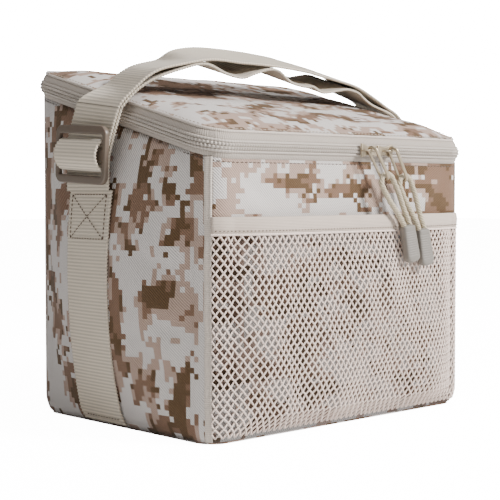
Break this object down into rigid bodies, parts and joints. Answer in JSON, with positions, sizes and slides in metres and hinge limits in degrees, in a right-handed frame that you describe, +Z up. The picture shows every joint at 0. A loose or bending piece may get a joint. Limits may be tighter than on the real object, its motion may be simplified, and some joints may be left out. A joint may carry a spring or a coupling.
{
  "type": "insulated cooler bag",
  "caption": "Soft insulated cooler bag with a sloped zipped lid, net front pocket, webbing carry strap with a slide adjuster and corded zip pulls.",
  "frame": {"origin": "centre of the base's underside, where the bag stands", "axes": "+Z up, front with the net pocket towards -Y, +X to the right of someone facing the front"},
  "size_m": [0.3376, 0.235, 0.2878],
  "materials": {
    "camo_fabric": "woven digital camouflage polyester twill",
    "board": "stiffening board",
    "foam": "closed-cell insulation foam",
    "liner": "wipe-clean coated liner",
    "zip_tape": "woven zip tape",
    "zip_coil": "moulded nylon coil",
    "net": "knitted diamond net",
    "binding": "folded elastic binding",
    "webbing": "ribbed woven webbing",
    "buckle": "moulded acetal",
    "slider_metal": "lacquered metal",
    "pull_cord": "braided cord",
    "cord_end": "moulded rubbery plastic with fine ribs"
  },
  "bodies": {
    "bag": {"base_panel": "camo_fabric", "base_board": "board", "base_foam": "foam", "front_panel": "camo_fabric", "back_panel": "camo_fabric", "left_panel": "camo_fabric", "right_panel": "camo_fabric", "front_foam": "foam", "back_foam": "foam", "left_foam": "foam", "right_foam": "foam", "liner_tub": "liner", "body_zip_tape": "zip_tape", "body_zip_coil": "zip_coil", "body_hinge_gusset": "camo_fabric", "mesh_pocket": "net", "pocket_binding": "binding", "left_side_webbing": "webbing", "right_side_webbing": "webbing", "left_inner_leg": "webbing", "left_outer_leg": "webbing", "right_strap_return": "webbing", "ring_keeper": "webbing", "strap_ring": "buckle"},
    "lid": {"lid_panel": "camo_fabric", "lid_foam": "foam", "lid_liner": "liner", "lid_zip_tape": "zip_tape", "lid_zip_coil": "zip_coil", "lid_hinge_gusset": "camo_fabric"},
    "strap": {"strap_outer": "webbing", "strap_inner": "webbing"},
    "adjuster": {"tri_glide": "buckle", "adjuster_roll": "webbing"},
    "left_slider": {"left_slider": "slider_metal"},
    "left_tab": {"left_tab": "slider_metal"},
    "left_pull": {"left_cord": "pull_cord", "left_cord_end": "cord_end"},
    "right_slider": {"right_slider": "slider_metal"},
    "right_tab": {"right_tab": "slider_metal"},
    "right_pull": {"right_cord": "pull_cord", "right_cord_end": "cord_end"}
  },
  "joints": [
    {"name": "lid_hinge", "type": "hinge", "parent": "bag", "child": "lid", "pos_m": [0, 0.1024, 0.259], "axis": [-1, 0, 0], "range_deg": [0, 100]},
    {"name": "strap_swing", "type": "hinge", "parent": "bag", "child": "strap", "pos_m": [0, 0.1024, 0.259], "axis": [-1, 0, 0], "range_deg": [0, 100]},
    {"name": "adjuster_slide", "type": "slide", "parent": "bag", "child": "adjuster", "axis": [0, -0.0527, 0.9986], "range_m": [0, 0.01]},
    {"name": "left_slider_slide", "type": "slide", "parent": "bag", "child": "left_slider", "axis": [-1, 0, 0], "range_m": [0, 0.124]},
    {"name": "right_slider_slide", "type": "slide", "parent": "bag", "child": "right_slider", "axis": [1, 0, 0], "range_m": [0, 0.074]},
    {"name": "left_tab_flip", "type": "hinge", "parent": "left_slider", "child": "left_tab", "pos_m": [0.01275, -0.1145, 0.205], "axis": [-1, 0, 0], "range_deg": [0, 110]},
    {"name": "left_pull_swing", "type": "hinge", "parent": "left_tab", "child": "left_pull", "pos_m": [0.02518, -0.11711, 0.18347], "axis": [0.0523, 0.9945, -0.0905], "range_deg": [0, 22]},
    {"name": "right_tab_flip", "type": "hinge", "parent": "right_slider", "child": "right_tab", "pos_m": [0.03625, -0.1145, 0.205], "axis": [-1, 0, 0], "range_deg": [0, 110]},
    {"name": "right_pull_swing", "type": "hinge", "parent": "right_tab", "child": "right_pull", "pos_m": [0.04636, -0.11711, 0.18229], "axis": [-0.0425, -0.9945, 0.0955], "range_deg": [0, 22]}
  ],
  "couplings": [
    {"joint": "strap_swing", "follows": "lid_hinge", "ratio": 1}
  ]
}
